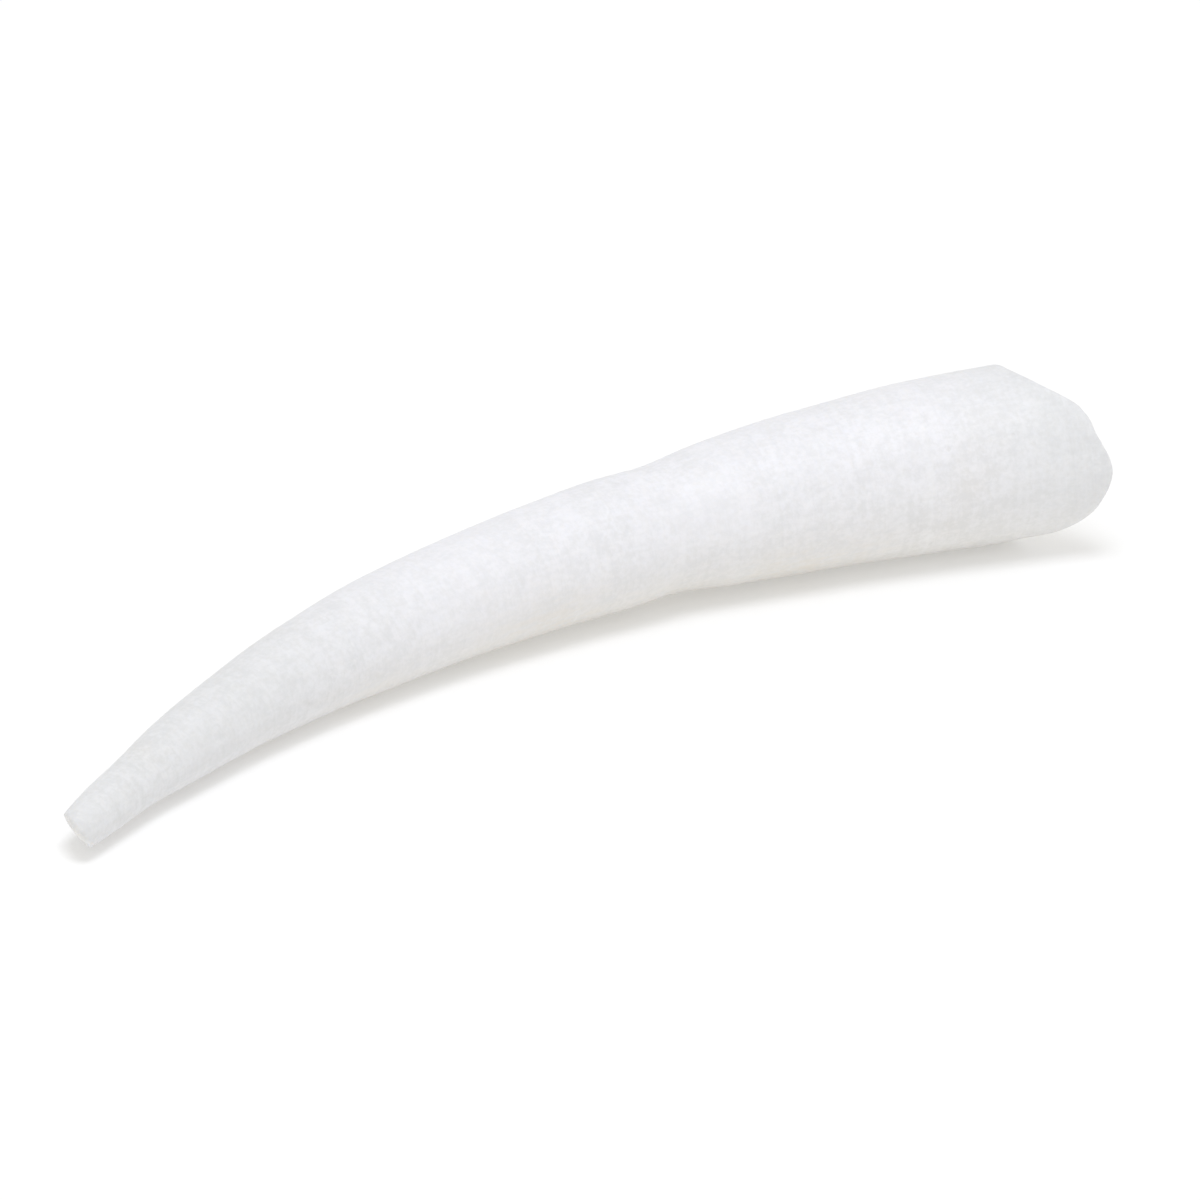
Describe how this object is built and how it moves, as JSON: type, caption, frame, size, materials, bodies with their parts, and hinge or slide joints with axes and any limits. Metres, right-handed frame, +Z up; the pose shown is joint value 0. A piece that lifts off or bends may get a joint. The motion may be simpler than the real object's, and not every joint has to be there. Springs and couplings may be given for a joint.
{
  "type": "tusk shell",
  "caption": "White curved tusk shell: a hollow tapering tube of lime, open at its wide lip and at its fine apex, lying on its side.",
  "frame": {"origin": "on the ground, under the middle of the shell's bounding box", "axes": "+X the way the wide lip looks, along the shell's longest extent; +Z up; the hollow side of the bend faces -Y"},
  "size_m": [0.0538, 0.0262, 0.0083],
  "materials": {
    "shell_lime": "satin"
  },
  "bodies": {
    "root": {"shell": "shell_lime"}
  },
  "joints": []
}
